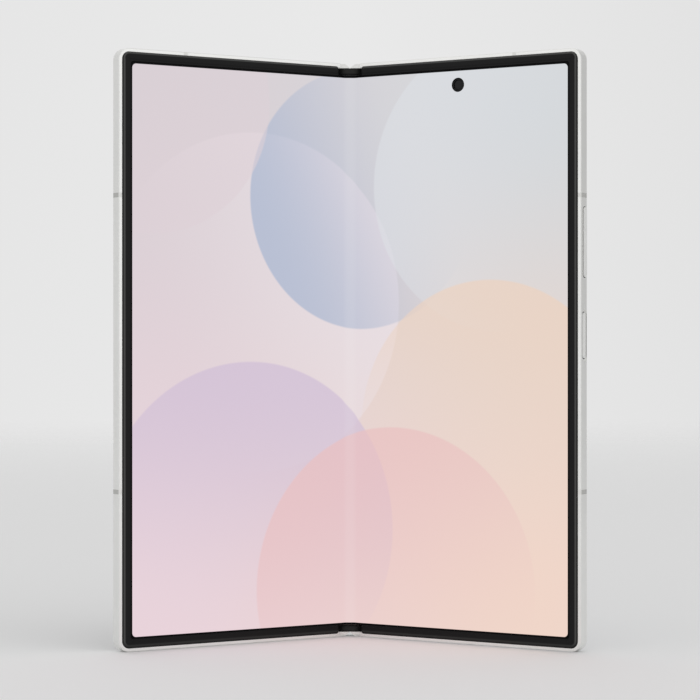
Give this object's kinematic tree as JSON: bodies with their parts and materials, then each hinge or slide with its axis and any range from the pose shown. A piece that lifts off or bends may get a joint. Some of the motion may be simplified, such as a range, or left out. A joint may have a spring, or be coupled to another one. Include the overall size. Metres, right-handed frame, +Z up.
{
  "type": "foldable smartphone",
  "caption": "Book-style foldable phone, partly open and standing, with a folding main screen, geared hinge, side keys and a camera island on the back.",
  "frame": {"origin": "middle of the footprint, on the surface that the phone stands on", "axes": "+Z up along the hinge, -Y towards the side that the main screen faces, +X towards the leaf with the keys"},
  "size_m": [0.1245, 0.0413, 0.1584],
  "materials": {
    "frame_metal": "fine blasted and anodised, pale silver",
    "hinge_metal": "brushed and anodised, pale silver",
    "key_metal": "anodised, a little glossier than the frame",
    "bezel_plastic": "black, fine satin",
    "cap_plastic": "black, satin",
    "break_plastic": "pale grey, flush with the frame",
    "screen": "glossy film over a lit picture of soft pastel shapes",
    "hinge_steel": "machined",
    "screw_steel": "plated",
    "spring_metal": "plain",
    "flex_film": "amber film",
    "dark_panel": "black",
    "camera_black": "black",
    "dark_plastic": "black",
    "battery_foil": "dark foil wrap",
    "circuit_board": "green solder mask",
    "shield_metal": "tinned sheet",
    "port_steel": "drawn shell",
    "ring_metal": "dark anodised, turned",
    "flash_lens": "clear cream lens",
    "coil_copper": "enamelled copper wire",
    "rear_glass": "matte etched glass over a pale silver backing",
    "cover_glass": "polished glass over a black panel",
    "lens_glass": "polished dark lens window"
  },
  "bodies": {
    "spine": {"hinge_cover": "hinge_metal", "hinge_cap_top": "cap_plastic", "hinge_cap_bottom": "cap_plastic", "hinge_block_top": "hinge_steel", "hinge_block_bottom": "hinge_steel", "gear_shafts": "hinge_steel", "friction_springs": "spring_metal", "hinge_screws": "screw_steel", "hinge_flex_cable": "flex_film", "screen_fold_left": "screen", "screen_fold_right": "screen"},
    "left_leaf": {"left_frame": "frame_metal", "left_bezel": "bezel_plastic", "left_screen_panel": "screen", "left_backing_plate": "hinge_steel", "left_antenna_breaks": "break_plastic", "left_hinge_bracket_top": "hinge_steel", "left_hinge_bracket_bottom": "hinge_steel", "left_bracket_screws": "screw_steel", "cover_glass": "cover_glass", "cover_screen_panel": "dark_panel", "cover_camera": "camera_black", "earpiece": "dark_plastic", "left_battery": "battery_foil", "left_board": "circuit_board", "tray_reader": "shield_metal"},
    "right_leaf": {"right_frame": "frame_metal", "right_bezel": "bezel_plastic", "right_screen_panel": "screen", "right_backing_plate": "hinge_steel", "right_antenna_breaks": "break_plastic", "right_hinge_bracket_top": "hinge_steel", "right_hinge_bracket_bottom": "hinge_steel", "right_bracket_screws": "screw_steel", "rear_glass": "rear_glass", "camera_island": "frame_metal", "lens_rings": "ring_metal", "lens_windows": "lens_glass", "camera_modules": "camera_black", "flash_window": "flash_lens", "inner_camera": "camera_black", "right_battery": "battery_foil", "main_board": "circuit_board", "shield_cans": "shield_metal", "charging_coil": "coil_copper", "charging_port": "port_steel", "loudspeaker": "dark_plastic", "vibration_motor": "shield_metal", "key_switches": "flex_film"},
    "card_tray": {"card_tray": "frame_metal"},
    "volume_rocker": {"volume_rocker": "key_metal"},
    "power_key": {"power_key": "key_metal"},
    "left_arms": {"left_swing_arms": "hinge_steel"},
    "right_arms": {"right_swing_arms": "hinge_steel"},
    "left_idlers": {"left_idler_gears": "hinge_steel"},
    "right_idlers": {"right_idler_gears": "hinge_steel"}
  },
  "joints": [
    {"name": "left_fold", "type": "hinge", "parent": "spine", "child": "left_leaf", "pos_m": [-0.00137, 0.01738, 0.0792], "axis": [0, 0, 1], "range_deg": [-32, 58], "deforming": ["screen_fold_left"]},
    {"name": "right_fold", "type": "hinge", "parent": "spine", "child": "right_leaf", "pos_m": [0.00137, 0.01738, 0.0792], "axis": [0, 0, -1], "range_deg": [-32, 58], "deforming": ["screen_fold_right"]},
    {"name": "left_arm_turn", "type": "hinge", "parent": "spine", "child": "left_arms", "pos_m": [-0.00225, 0.01845, 0.0792], "axis": [0, 0, 1], "range_deg": [-32, 58]},
    {"name": "right_arm_turn", "type": "hinge", "parent": "spine", "child": "right_arms", "pos_m": [0.00225, 0.01845, 0.0792], "axis": [0, 0, -1], "range_deg": [-32, 58]},
    {"name": "left_idler_turn", "type": "hinge", "parent": "spine", "child": "left_idlers", "pos_m": [-0.00075, 0.01845, 0.0792], "axis": [0, 0, -1], "range_deg": [-32, 58]},
    {"name": "right_idler_turn", "type": "hinge", "parent": "spine", "child": "right_idlers", "pos_m": [0.00075, 0.01845, 0.0792], "axis": [0, 0, 1], "range_deg": [-32, 58]},
    {"name": "rocker_press", "type": "slide", "parent": "right_leaf", "child": "volume_rocker", "axis": [-0.848, 0.5299, 0], "range_m": [0, 0.00025], "stiffness_N_per_m": 2000},
    {"name": "power_press", "type": "slide", "parent": "right_leaf", "child": "power_key", "axis": [-0.848, 0.5299, 0], "range_m": [0, 0.00025], "stiffness_N_per_m": 2000},
    {"name": "tray_pull", "type": "slide", "parent": "left_leaf", "child": "card_tray", "axis": [0, 0, 1], "range_m": [0, 0.014]}
  ],
  "couplings": [
    {"joint": "right_fold", "follows": "left_fold", "ratio": 1},
    {"joint": "left_arm_turn", "follows": "left_fold", "ratio": 1},
    {"joint": "right_arm_turn", "follows": "left_fold", "ratio": 1},
    {"joint": "left_idler_turn", "follows": "left_fold", "ratio": 1},
    {"joint": "right_idler_turn", "follows": "left_fold", "ratio": 1}
  ]
}
